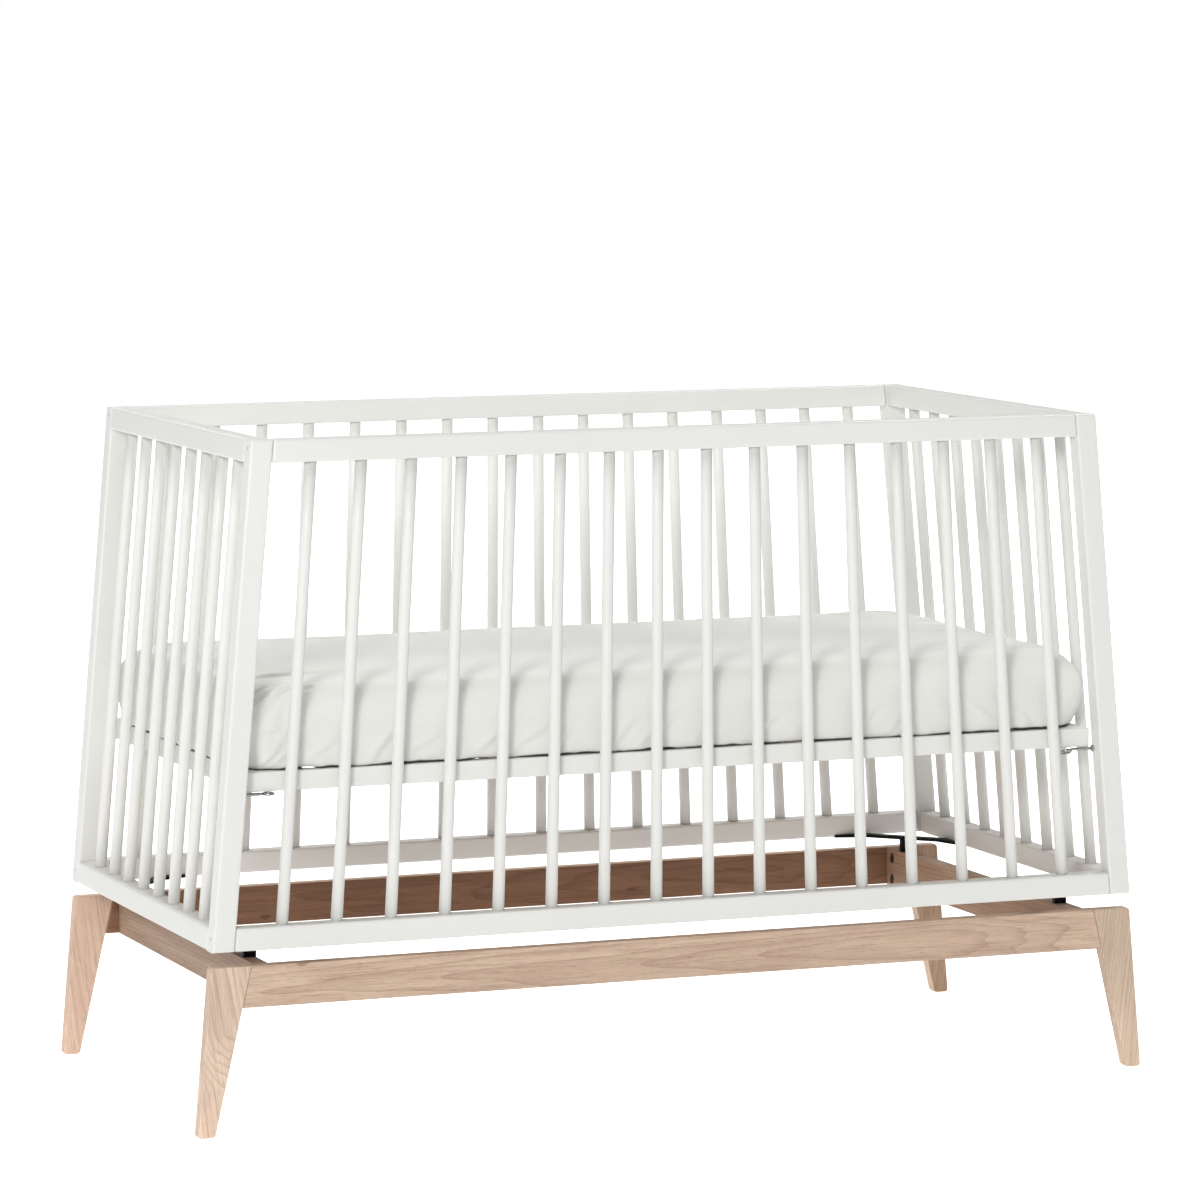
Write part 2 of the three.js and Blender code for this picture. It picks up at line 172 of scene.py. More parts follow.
def oak(name, axis, lean=0.0, seed=0.0, heart=(0.0, 0.0, 0.0), bend=None, inner=None,
        shade_tint=RAIL_INSIDE_SHADE, tint=(1.0, 1.0, 1.0), foot_light=1.0):
    """Pale, whitewashed oak. Growth rings are long cylinders round a line through heart, which leans
    against the board; bend = (start, end, amount) brings the line nearer to the face between two
    places along the board, where the rings open into arches. inner is the way of the face with
    painted shade, shade_tint how much darker it is made; foot_light is painted light, how much
    lighter the wood is made at the floor."""
    s = Shader(name, 0.6, Specular_IOR_Level=0.3)
    turn = {"X": (0.0, 0.0, lean), "Y": (lean, 0.0, 0.0), "Z": (0.0, lean, 0.0)}[axis]
    moved = s.add("ShaderNodeVectorMath", {0: s.place, 1: heart}, operation="SUBTRACT").outputs[0]
    turned = s.mapped((1, 1, 1), rotation=turn, source=moved)
    long = s.mapped(ALONG[axis], source=turned, offset=(seed, seed * 0.7, seed * 1.3))
    slow = s.mapped(stretched(axis, 3.0, 0.25), source=turned, offset=(seed, seed, seed))
    sway = s.noise(slow, 4.5, 3.0, output="Color")
    shift = s.add("ShaderNodeVectorMath", {0: sway, 1: (0.5, 0.5, 0.5)}, operation="SUBTRACT")
    drift = s.add("ShaderNodeVectorMath", {0: shift.outputs[0], "Scale": RING_SWAY},
                  operation="SCALE")
    bent = s.add("ShaderNodeVectorMath", {0: turned, 1: drift.outputs[0]}, operation="ADD").outputs[0]
    parts = s.add("ShaderNodeSeparateXYZ", {0: bent}).outputs
    across = {letter: parts[i] for i, letter in enumerate("XYZ")}
    run = across.pop(axis)
    if bend:
        nearer = s.ramp(run, bend[0], bend[1], 0.0, bend[2])
        nearer.node.interpolation_type = "SMOOTHSTEP"
        across["Y"] = s.math("ADD", across["Y"], nearer)
    squares = [s.math("MULTIPLY", value, value) for value in across.values()]
    radius = s.math("SQRT", s.math("ADD", *squares))
    ring = s.math("POWER", s.math("FRACT", s.math("MULTIPLY", radius, RINGS_PER_METRE)), 4.0)
    band = s.math("SINE", s.math("MULTIPLY", radius, 160.0))
    fibre = s.noise(long, 75.0, 6.0, 0.7)
    streak = s.noise(long, 8.0, 3.0, 0.55)
    dashes = s.mapped(stretched(axis, 2.2, 1.0), source=long, offset=(3.1, 1.7, 5.3))
    pore = s.ramp(s.noise(dashes, 60.0, 2.0, 0.5), 0.60, 0.70)
    spots = s.mapped(stretched(axis, 1.0, 0.35), source=turned, offset=(seed, 2.0, seed))
    knot = s.ramp(s.noise(spots, 55.0, 1.0), 0.76, 0.80)
    thin = s.mapped(stretched(axis, 1.5, 0.24), source=long, offset=(7.0, 4.0, 9.0))
    lines = s.ramp(s.noise(thin, 28.0, 2.0, 0.5), 0.55, 0.66)
    pale = s.mix(s.ramp(streak, 0.34, 0.66), (0.622, 0.464, 0.357), (0.490, 0.345, 0.264))
    banded = s.mix(s.ramp(band, -1.0, 1.0, 0.0, 0.40), pale, (0.42, 0.295, 0.225))
    grown = s.mix(s.math("MULTIPLY", ring, 0.58), banded, (0.285, 0.180, 0.125))
    lined = s.mix(s.math("MULTIPLY", lines, 0.50), grown, (0.300, 0.190, 0.132))
    fibred = s.mix(s.ramp(fibre, 0.35, 0.7, 0.0, 0.26), lined, (0.72, 0.575, 0.460))
    face = s.mix(s.math("MULTIPLY", pore, 0.45), fibred, (0.225, 0.138, 0.092))
    face = s.mix(s.math("MULTIPLY", knot, 0.5), face, (0.16, 0.10, 0.07))
    face = s.multiply(face, tint)
    # painted light: the wood is made lighter towards the floor, standing in for light thrown up by the
    # floor
    if foot_light != 1.0:
        face = s.multiply(face, s.ramp(s.height(), 0.0, FOOT_LIGHT_FADES_AT, foot_light, 1.0))
    # painted shade: faces turned the way of inner are darkened, standing in for the shade inside the
    # crib
    if inner:
        normal = s.add("ShaderNodeNewGeometry").outputs["True Normal"]
        facing = s.add("ShaderNodeVectorMath", {0: normal, 1: inner}, operation="DOT_PRODUCT")
        in_shade = s.ramp(facing.outputs["Value"], 0.75, 0.95)
        face = s.mix(in_shade, face, s.multiply(face, shade_tint))
    s.color(face)
    s.roughness(s.ramp(fibre, 0.3, 0.7, 0.52, 0.66))
    relief = s.math("SUBTRACT", s.math("MULTIPLY", fibre, 0.6), s.math("MULTIPLY", pore, 0.8))
    s.bump(s.math("SUBTRACT", relief, s.math("MULTIPLY", ring, 0.25)), 0.0002, 0.7)
    return s.material


def bare_wood(name):
    s = Shader(name, 0.7, Specular_IOR_Level=0.25)
    long = s.mapped(ALONG["Y"])
    fibre = s.noise(long, 55.0, 5.0, 0.6)
    streak = s.noise(long, 5.0, 3.0)
    face = s.mix(s.ramp(streak, 0.3, 0.7), (0.52, 0.33, 0.20), (0.40, 0.235, 0.135))
    s.color(s.mix(s.ramp(fibre, 0.4, 0.75, 0.0, 0.5), face, (0.27, 0.15, 0.085)))
    s.bump(fibre, 0.0002, 0.6)
    return s.material


def metal(name, low, high, rough, metallic, grain=900.0, specular=0.5):
    s = Shader(name, rough, Metallic=metallic, Specular_IOR_Level=specular)
    cloud = s.noise(s.place, 260.0, 4.0, 0.6)
    s.color(s.mix(s.ramp(cloud, 0.35, 0.65), low, high))
    s.roughness(s.ramp(cloud, 0.3, 0.7, rough - 0.06, rough + 0.10))
    s.bump(s.noise(s.place, grain, 3.0), 0.00006, 0.6)
    return s.material


def cotton(name, hem):
    """Off-white cotton in a fine plain weave, with a faint sheen, and painted shade: near black just
    over the height hem, standing in for the shadow where it is tucked under."""
    s = Shader(name, 0.92, Specular_IOR_Level=0.15, Sheen_Weight=0.18, Sheen_Roughness=0.5)
    threads = []
    for direction in ("X", "Y", "Z"):
        wave = s.add("ShaderNodeTexWave", {"Vector": s.place, "Scale": 330.0, "Distortion": 0.6,
                                           "Detail": 1.0}, wave_type="BANDS", bands_direction=direction)
        threads.append(wave.outputs["Fac"])
    weave = s.math("ADD", s.math("MULTIPLY", threads[0], threads[1]),
                   s.math("MULTIPLY", threads[2], threads[0]))
    weave = s.math("ADD", weave, s.math("MULTIPLY", threads[2], threads[1]))
    slub = s.noise(s.mapped((1.0, 7.0, 7.0)), 90.0, 3.0, 0.6)
    cloud = s.noise(s.place, 6.0, 2.0)
    tone = s.mix(s.ramp(cloud, 0.3, 0.7), (0.765, 0.762, 0.728), (0.795, 0.793, 0.765))
    tone = s.mix(s.ramp(slub, 0.5, 0.8, 0.0, 0.18), tone, (0.70, 0.695, 0.655))
    woven = s.mix(s.ramp(weave, 0.2, 1.6, 0.10, 0.0), tone, (0.62, 0.61, 0.57))
    wander = s.ramp(s.noise(s.place, 26.0, 3.0), 0.3, 0.7, -0.0022, 0.0014)
    wavy = s.math("ADD", s.height(), wander)
    # painted shade: a wavy near-black band just over the hem, for the shadow under the tucked hem
    s.color(s.mix(s.ramp(wavy, hem + 0.0010, hem + 0.0030), (0.045, 0.038, 0.032), woven))
    crumple = s.noise(s.place, 38.0, 3.0, 0.55)
    relief = s.math("ADD", s.math("MULTIPLY", weave, 0.06), s.math("MULTIPLY", crumple, 0.5))
    s.bump(relief, 0.0012, 0.55)
    return s.material


OAK_TINT = (1.12, 1.12, 1.09)
# painted shade: both aprons are darkened for the shade of the body above them, the left one most
APRON_SHADE_TINT = {"left": (0.72, 0.68, 0.64), "right": (0.80, 0.78, 0.75)}
LEG_TINT = {"front_left": (1.22, 1.27, 1.29), "back_left": (1.34, 1.33, 1.33),
            "front_right": (1.08, 1.14, 1.13), "back_right": (1.10, 1.14, 1.13)}
LEG_HEART = {"left": (-0.630, 0.345), "right": (0.72, 0.40)}
PAINT = {axis: painted("white_paint_" + axis, axis) for axis in "XYZ"}
# painted light: the back rail, and the back dowels above the mattress, are painted lighter, standing in
# for light reaching the back of the crib
RAIL_PAINT = {"front": PAINT["X"],
              "back": painted("white_paint_back_rail_painted_light", "X", low=1.10, high=1.10)}
DOWEL_PAINT = {"front": PAINT["Z"],
               "back": painted("white_paint_back_dowel_painted_light", "Z", low=1.0, high=1.16)}
ZINC = metal("zinc_plate", (0.25, 0.255, 0.265), (0.50, 0.505, 0.51), 0.19, 1.0)
BLACK = metal("black_powder_coat", (0.0030, 0.0030, 0.0032), (0.0070, 0.0070, 0.0072), 0.45, 0.0,
              1600.0, 0.12)
DARK_STEEL = metal("dark_steel", (0.012, 0.007, 0.005), (0.034, 0.020, 0.013), 0.5, 0.2)
SLAT_WOOD = bare_wood("planed_softwood")
SHEET = cotton("cotton_sheet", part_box("mattress")[0][2])


def give(node, material):
    """Puts a material on a CAD node that stays as it is."""
    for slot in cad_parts[node].material_slots:
        slot.material = material


for end, sx in ENDS:
    give(f"top_rail_{end}", PAINT["Y"])
    give(f"mattress_base_rail_{end}", PAINT["Y"])
    give(f"apron_{end}", oak("oak_apron_" + end, "Y", lean=0.02, seed=4.0 + sx,
                             heart=(sx * 0.62, 0.0, 0.12), inner=(-sx, 0.0, 0.0),
                             shade_tint=APRON_INSIDE_SHADE, tint=APRON_SHADE_TINT[end]))
for side, sy in LONG_SIDES:
    give(f"top_rail_{side}", RAIL_PAINT[side])
    give(f"mattress_base_rail_{side}", PAINT["X"])
    give(f"base_rail_{side}", oak("oak_rail_" + side, "X", lean=0.02 * sy, seed=9.0 + sy,
                                  heart=(0.0, sy * 0.375, 0.19), bend=(0.36, 0.64, -sy * 0.020),
                                  inner=(0.0, -sy, 0.0), tint=OAK_TINT))
    for end, sx in ENDS:
        corner = f"{side}_{end}"
        give(f"post_{corner}", PAINT["Z"])
        give(f"leg_{corner}", oak("oak_leg_" + corner, "Z", lean=-0.13 * sx, seed=sx + 2.5 * sy,
                                  heart=(LEG_HEART[end][0], sy * LEG_HEART[end][1], 0.12),
                                  tint=LEG_TINT[corner],
                                  bend=(0.02, -0.06, 0.022) if corner == "front_left" else None,
                                  foot_light=1.12 if corner == "back_left" else 1.35,
                                  inner=(0.0, -sy, 0.0) if corner == "back_right" else None,
                                  shade_tint=LEG_INSIDE_SHADE))
        give(f"bracket_{corner}", BLACK)
        for level in ("upper", "lower"):
            give(f"bolt_{level}_{corner}", ZINC)
            give(f"cross_nut_{level}_{corner}", DARK_STEEL)
for number in range(1, 12):
    give(f"mattress_base_slat_{number:02d}", SLAT_WOOD)


# ---- shapes ----
def new_object(name, data):
    obj = bpy.data.objects.new(name, data)
    bpy.context.scene.collection.objects.link(obj)
    return obj


def new_mesh(name, bm):
    mesh = bpy.data.meshes.new(name)
    bm.to_mesh(mesh)
    bm.free()
    return mesh


def piece(name, mesh, material, body):
    """A visual piece that rides on a body of the frame and has a material slot of its own."""
    obj = new_object(name, mesh)
    mesh.materials.clear()
    mesh.materials.append(material)
    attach(obj, body)
    return obj


def tube_mesh(name, path, radii, sides):
    """A closed round bar along a path, with a radius at each of its points."""
    points = [Vector(p) for p in path]
    bm = bmesh.new()
    rings, across = [], None
    for i, (point, radius) in enumerate(zip(points, radii)):
        before, after = points[max(i - 1, 0)], points[min(i + 1, len(points) - 1)]
        along = (after - before).normalized()
        if across is None:
            across = along.orthogonal().normalized()
        across = (across - along * across.dot(along)).normalized()
        other = along.cross(across)
        rings.append([bm.verts.new(point + radius * (math.cos(a) * across + math.sin(a) * other))
                      for a in (2 * math.pi * k / sides for k in range(sides))])
    for low, high in zip(rings, rings[1:]):
        for k in range(sides):
            bm.faces.new((low[k], low[(k + 1) % sides], high[(k + 1) % sides], high[k]))
    bm.faces.new(list(reversed(rings[0])))
    bm.faces.new(rings[-1])
    for face in bm.faces:
        face.smooth = len(face.verts) == 4
    return new_mesh(name, bm)


def closed_prism(near_points, far_points):
    """A solid between two outlines that have the same number of corners."""
    bm = bmesh.new()
    near = [bm.verts.new(p) for p in near_points]
    far = [bm.verts.new(p) for p in far_points]
    bm.faces.new(near)
    bm.faces.new(list(reversed(far)))
    for i in range(len(near)):
        j = (i + 1) % len(near)
        bm.faces.new((near[j], near[i], far[i], far[j]))
    bmesh.ops.recalc_face_normals(bm, faces=bm.faces)
    return bm


def prism_mesh(name, outline, y0, y1, round_by):
    """An outline in X and Z run along Y, with every edge rounded."""
    bm = closed_prism([(x, y0, z) for x, z in outline], [(x, y1, z) for x, z in outline])
    bmesh.ops.bevel(bm, geom=list(bm.edges), offset=round_by, segments=4, profile=0.5,
                    affect="EDGES", clamp_overlap=True)
    for face in bm.faces:
        face.smooth = True
    return new_mesh(name, bm)


def apply_modifiers(obj):
    depsgraph = bpy.context.evaluated_depsgraph_get()
    mesh = bpy.data.meshes.new_from_object(obj.evaluated_get(depsgraph))
    obj.modifiers.clear()
    obj.data = mesh
    return mesh


def leaning(sx, width, z0, z1):
    """The outline in X and Z of a bar of an end, which leans inwards as the posts do."""
    return [(sx * half_length(z0), z0), (sx * half_length(z1), z1),
            (sx * (half_length(z1) - width), z1), (sx * (half_length(z0) - width), z0)]


# ---- bottom rails and dowels, each a piece of its own ----
RAIL_TOP = BODY_BOTTOM + RAIL_HEIGHT
TOP_RAIL_BOTTOM = HEIGHT - RAIL_HEIGHT
OUTER_Y = DEPTH / 2
INNER_Y = OUTER_Y - RAIL_THICKNESS
MID_Y = OUTER_Y - RAIL_THICKNESS / 2
DOWEL_SIDES, DOWEL_STEPS, DOWEL_IN_RAIL = 28, 6, 0.004
PAST_FACE = 0.001                      # how far a cut reaches out of the wood


def dowel(name, place, comb, paint):
    """A dowel from rail to rail; place gives a point of its centre line from a height."""
    low, high = RAIL_TOP - DOWEL_IN_RAIL, TOP_RAIL_BOTTOM + DOWEL_IN_RAIL
    path = [place(low + (high - low) * k / DOWEL_STEPS) for k in range(DOWEL_STEPS + 1)]
    mesh = tube_mesh(name, path, [DOWEL_RADIUS] * len(path), DOWEL_SIDES)
    obj = piece(name, mesh, paint, "crib_frame")
    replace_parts(obj, comb)


def strap_outline(sx, sy, grow):
    """The strap of a corner bracket in X and Y, let into the undersides of two rails."""
    end_rail = half_length(BODY_BOTTOM) - RAIL_THICKNESS
    near, far = STRAP_NEAR - grow * math.sqrt(2), STRAP_FAR + grow * math.sqrt(2)
    x, y = end_rail + FOOT_DEPTH + grow, INNER_Y + FOOT_DEPTH + grow
    length, flare = FOOT_LENGTH + grow, STRAP_FLARE / 2
    corners = [(far - y - length, y), (far - y - length, INNER_Y - PAST_FACE),
               (near - INNER_Y + flare, INNER_Y - flare),
               (end_rail - flare, near - end_rail + flare),
               (end_rail - PAST_FACE, far - x - length), (x, far - x - length), (x, far - x),
               (far - y, y)]
    return [(sx * px, sy * py) for px, py in corners]


def pocket(obj, sx, sy):
    """Cuts the room for a bracket's strap out of the underside of a rail."""
    outline = strap_outline(sx, sy, GAP)
    bm = closed_prism([(x, y, BODY_BOTTOM - PAST_FACE) for x, y in outline],
                      [(x, y, BODY_BOTTOM + STRAP_LET_IN + GAP) for x, y in outline])
    cutter = new_object("pocket", new_mesh("pocket", bm))
    cut = obj.modifiers.new("pocket", "BOOLEAN")
    cut.operation, cut.solver, cut.object = "DIFFERENCE", "EXACT", cutter
    apply_modifiers(obj)
    bpy.data.objects.remove(cutter)


def rail(name, outline, y0, y1, paint, comb, corners):
    """A bottom rail, with pockets for the brackets at the given corners."""
    obj = piece(name, prism_mesh(name, outline, y0, y1, ROUND), paint, "crib_frame")
    for sx, sy in corners:
        pocket(obj, sx, sy)
    obj.modifiers.new("even_shading", "WEIGHTED_NORMAL")
    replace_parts(obj, comb)


for side, sy in LONG_SIDES:
    comb = f"bottom_rail_and_dowels_{side}"
    reach = [half_length(z) - POST_WIDTH - GAP for z in (BODY_BOTTOM, RAIL_TOP)]
    outline = [(-reach[0], BODY_BOTTOM), (reach[0], BODY_BOTTOM), (reach[1], RAIL_TOP),
               (-reach[1], RAIL_TOP)]
    rail(f"bottom_rail_{side}", outline, *sorted((sy * INNER_Y, sy * OUTER_Y)),
         RAIL_PAINT[side], comb, [(-1, sy), (1, sy)])
    for i in range(LONG_DOWELS):
        def place(z, i=i, sy=sy):
            t = (z - BODY_BOTTOM) / (HEIGHT - BODY_BOTTOM)
            pitch = LONG_PITCH_BOTTOM + (LONG_PITCH_TOP - LONG_PITCH_BOTTOM) * t
            return ((i - (LONG_DOWELS - 1) / 2) * pitch, sy * MID_Y, z)
        dowel(f"dowel_{side}_{i + 1:02d}", place, comb, DOWEL_PAINT[side])
for end, sx in ENDS:
    comb = f"bottom_rail_and_dowels_{end}"
    rail(f"bottom_rail_{end}", leaning(sx, RAIL_THICKNESS, BODY_BOTTOM, RAIL_TOP),
         -(INNER_Y - GAP), INNER_Y - GAP, PAINT["Y"], comb, [(sx, -1), (sx, 1)])
    for i in range(END_DOWELS):
        def place(z, i=i, sx=sx):
            y = (i - (END_DOWELS - 1) / 2) * END_PITCH
            return (sx * (half_length(z) - RAIL_THICKNESS / 2), y, z)
        dowel(f"dowel_{end}_{i + 1}", place, comb, PAINT["Z"])

# ---- eye screws: threaded shank, flange and a wire eye ----
THREAD_TURNS, THREAD_PITCH, THREAD_CORE = 22, 0.0009, 0.84     # the core is a share of the wire
NECK_STEPS, NECK_SHARE, EYE_STEPS, EYE_SHARE = 8, 0.9, 30, 0.85
EYE_FROM, EYE_SWEEP = 10, 330          # degrees; the eye is not quite closed
FLANGE_DEPTHS, FLANGE_RADII = (0.0, 0.0003, 0.0016, 0.0022), (0.0042, 0.0046, 0.0046, 0.0036)
WIRE_SIDES, FLANGE_SIDES = 14, 24


def screw_wire(sx, sy, face, reach, tilt):
    """The path and radii of one wire: thread, plain neck, then round the eye."""
    path, radii = [], []
    thread_end, eye_x = face - FLANGE_DEPTHS[-1], face - reach
    for k in range(THREAD_TURNS * 2 + 1):
        path.append((sx * (thread_end - k * THREAD_PITCH / 2), sy * SCREW_Y, SCREW_Z))
        radii.append(WIRE * (1.0 if k % 2 else THREAD_CORE))
    thread_start, eye_edge = thread_end - THREAD_TURNS * THREAD_PITCH, eye_x + EYE_RADIUS + 0.001
    for k in range(1, NECK_STEPS + 1):
        t = k / NECK_STEPS
        path.append((sx * (thread_start * (1 - t) + eye_edge * t), sy * SCREW_Y, SCREW_Z))
        radii.append(WIRE * NECK_SHARE)
    centre = Vector((sx * eye_x, sy * SCREW_Y, SCREW_Z - EYE_RADIUS * math.sin(tilt)))
    for k in range(EYE_STEPS + 1):
        a = math.radians(EYE_FROM + EYE_SWEEP * k / EYE_STEPS)
        flat = Vector((sx * EYE_RADIUS * math.cos(a), EYE_RADIUS * math.sin(a), 0))
        path.append(centre + Matrix.Rotation(sy * tilt, 3, "X") @ flat)
        radii.append(WIRE * EYE_SHARE)
    return path, radii


for side, sy in LONG_SIDES:
    for end, sx in ENDS:
        node, body = f"eye_screw_{side}_{end}", f"{end}_eye_screws"
        face = max(abs(bound[0]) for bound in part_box(node))
        wire = tube_mesh(node + "_wire", *screw_wire(sx, sy, face, SCREW_REACH[end], EYE_TILT[end]),
                         WIRE_SIDES)
        washer_path = [(sx * (face - depth), sy * SCREW_Y, SCREW_Z) for depth in FLANGE_DEPTHS]
        washer = tube_mesh(node + "_flange", washer_path, FLANGE_RADII, FLANGE_SIDES)
        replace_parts(piece(node + "_wire", wire, ZINC, body), node)
        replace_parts(piece(node + "_flange", washer, ZINC, body), node)


# ---- mattress in its fitted sheet ----
MATTRESS_BOTTOM, MATTRESS_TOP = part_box("mattress")[0][2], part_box("mattress")[1][2]
PAD_HALF = (0.6050, 0.2985)            # at mid-height, before it swells
PAD_CORNER, PAD_CORNER_FLAT = 0.027, 0.068   # corner radius at mid-height, and at hem and top
PAD_TOP_EDGE, PAD_HEM_EDGE = (0.036, 0.046), (0.0050, 0.032)   # how far in, over what height
PAD_LOW, PAD_HIGH = MATTRESS_BOTTOM + 0.0012, MATTRESS_TOP - 0.0050
PAD_VOXEL, PAD_CAP, PAD_PRESSURE, PAD_FRAMES = 0.0060, 0.0050, 4.0, 20
PAD_CLEAR, PAD_RISE = 0.0014, 0.004    # kept from the dowels, and allowed over the CAD's top
PAD_HELD = 0.004                       # how much of the bottom lies held on the slats
PAD_LEVELS, PAD_CORNER_STEPS = 16, 8
FOLD_PITCH, SEED = 0.066, 7


def rounded_block(name):
    """A stack of rounded rectangles, drawn in towards the top and a little towards the hem."""
    bm = bmesh.new()
    rings, middle = [], (PAD_LOW + PAD_HIGH) / 2
    for k in range(PAD_LEVELS + 1):
        z = middle - (PAD_HIGH - PAD_LOW) / 2 * math.cos(math.pi * k / PAD_LEVELS)
        draw = 0.0
        for level, (inset, height) in ((PAD_HIGH, PAD_TOP_EDGE), (PAD_LOW, PAD_HEM_EDGE)):
            t = max(0.0, 1.0 - abs(z - level) / height)
            draw += inset * (1.0 - math.sqrt(1.0 - t * t))
        away = abs(z - middle) / (PAD_HIGH - middle)
        radius = PAD_CORNER + (PAD_CORNER_FLAT - PAD_CORNER) * away ** 2
        ring = []
        for quarter, (sx, sy) in enumerate(((1, 1), (-1, 1), (-1, -1), (1, -1))):
            cx, cy = sx * (PAD_HALF[0] - draw - radius), sy * (PAD_HALF[1] - draw - radius)
            for step in range(PAD_CORNER_STEPS + 1):
                a = math.pi / 2 * (quarter + step / PAD_CORNER_STEPS)
                ring.append(bm.verts.new((cx + radius * math.cos(a), cy + radius * math.sin(a), z)))
        rings.append(ring)
    count = len(rings[0])
    for low, high in zip(rings, rings[1:]):
        for i in range(count):
            bm.faces.new((low[i], low[(i + 1) % count], high[(i + 1) % count], high[i]))
    bm.faces.new(list(reversed(rings[0])))
    bm.faces.new(rings[-1])
    return new_mesh(name, bm)


def coordinates(mesh):
    co = np.empty(len(mesh.vertices) * 3)
    mesh.vertices.foreach_get("co", co)
    return co.reshape(-1, 3)


def normals(mesh):
    no = np.empty(len(mesh.vertices) * 3)
    mesh.vertex_normals.foreach_get("vector", no)
    return no.reshape(-1, 3)


def swell(obj):
    """Cloth under pressure, held where it lies on the slats, with how far it may move capped."""
    before = coordinates(obj.data)
    held = obj.vertex_groups.new(name="on_the_slats")
    for i in np.flatnonzero(before[:, 2] < PAD_LOW + PAD_HELD):
        held.add([int(i)], 1.0, "REPLACE")
    cloth = obj.modifiers.new("cloth", "CLOTH")
    settings = cloth.settings
    settings.quality, settings.mass = 4, 0.25
    settings.vertex_group_mass = held.name
    settings.tension_stiffness = settings.compression_stiffness = 12.0
    settings.shear_stiffness, settings.bending_stiffness = 8.0, 0.6
    settings.use_pressure, settings.uniform_pressure_force = True, PAD_PRESSURE
    settings.effector_weights.gravity = 0.0
    scene = bpy.context.scene
    for number in range(1, PAD_FRAMES + 1):
        scene.frame_set(number)
        bpy.context.view_layer.update()
    mesh = apply_modifiers(obj)
    scene.frame_set(1)
    moved = coordinates(mesh) - before
    moved[:, 2] *= 0.4                 # it swells mostly sideways
    length = np.linalg.norm(moved, axis=1, keepdims=True)
    eased = np.tanh(length / PAD_CAP) * PAD_CAP
    mesh.vertices.foreach_set("co", (before + moved * eased / np.maximum(length, 1e-9)).ravel())
    mesh.update()


def smooth_noise(rng, at, spacing, low, high):
    """Smooth 1-D noise: random values every spacing metres, joined by cosines."""
    count = int((high - low) / spacing) + 3
    values = rng.uniform(-1, 1, count)
    t = (at - low) / spacing
    i = np.clip(t.astype(int), 0, count - 2)
    f = (1 - np.cos(np.pi * (t - i))) / 2
    return values[i] * (1 - f) + values[i + 1] * f


def ridge(s, t, centre, angle, length, width):
    """A soft fold: 1 along a short line in the (s, t) plane, fading to its ends and sides."""
    ds, dt = s - centre[0], t - centre[1]
    along = ds * math.cos(angle) + dt * math.sin(angle)
    aside = -ds * math.sin(angle) + dt * math.cos(angle)
    return np.exp(-(aside / width) ** 2) * np.exp(-(along / length) ** 4)


def bell(distance, width):
    """1 at no distance, fading to 0 within a few widths."""
    return np.exp(-(distance / width) ** 2)


def hem_gather(rng, x, y, no, up):
    """How far the wavy, gathered hem stands out all round, and how far it lifts off the slats."""
    around = np.where(np.abs(no[:, 1]) > np.abs(no[:, 0]), x * np.sign(y), y * np.sign(x) + 5.0)
    gather = (smooth_noise(rng, around, 0.013, -1, 6) * 0.0016
              + smooth_noise(rng, around, 0.045, -1, 6) * 0.0018)
    lift = bell(up, 0.011) * np.clip(
        0.0006 + 0.0014 * smooth_noise(rng, around, 0.030, -1, 6), 0.0, 0.0018)
    # one place where it stands off the frame far enough to see light under it
    lift += 0.0045 * bell(x + 0.506, 0.011) * (y < 0) * bell(up, 0.014)
    return gather * bell(up, 0.016), lift


def slanting_folds(rng, x, y, no, up, side):
    """Soft slanting folds low on the long sides and the ends."""
    push = np.zeros(len(x))
    for sign in (-1, 1):
        on_side = side * np.clip(no[:, 1] * sign * 2, 0, 1)
        for centre in np.arange(-0.54, 0.56, FOLD_PITCH):
            s0 = centre + rng.uniform(-0.022, 0.022)
            lean = math.radians(rng.uniform(22, 48)) * (1 if s0 * sign > -0.35 else -1)
            size = rng.uniform(0.35, 1.0)
            reach = 0.026 * size + 0.008
            fold = ridge(x * -sign, up, (s0, 0.016 + 0.014 * size), lean, reach,
                         0.0038 + 0.0022 * size)
            furrow = ridge(x * -sign, up, (s0 + 0.010, 0.014 + 0.014 * size), lean, reach, 0.0055)
            push += on_side * (fold * 0.0024 - furrow * 0.0016) * size
        on_end = side * np.clip(no[:, 0] * sign * 2, 0, 1)
        for centre in np.arange(-0.24, 0.25, FOLD_PITCH):
            s0 = centre + rng.uniform(-0.02, 0.02)
            fold = ridge(y, up, (s0, 0.022), math.radians(rng.uniform(40, 140)), 0.028, 0.0055)
            push += on_end * fold * 0.0026
    return push


def corner_pleats(rng, x, y, up, side, lift):
    """Pleats round the corners, drawn together at the hem; returns the push and the new lift."""
    push = np.zeros(len(x))
    for sx in (-1, 1):
        for sy in (-1, 1):
            cx, cy = sx * (PAD_HALF[0] - PAD_CORNER), sy * (PAD_HALF[1] - PAD_CORNER)
            dx, dy = (x - cx) * sx, (y - cy) * sy
            angle = np.arctan2(dy, dx)
            near = (np.clip(1 - np.abs(angle - math.pi / 4) / 1.05, 0, 1)
                    * (dx > -0.03) * (dy > -0.03))
            phase = 2.2 * np.sin(up * 60) + rng.uniform(0, 6)
            push += side * near * bell(up, 0.040) * 0.0030 * np.sin(angle * 21 + phase)
            lift = lift * (1 - near) + near * bell(up, 0.020) * 0.0020
    return push, lift


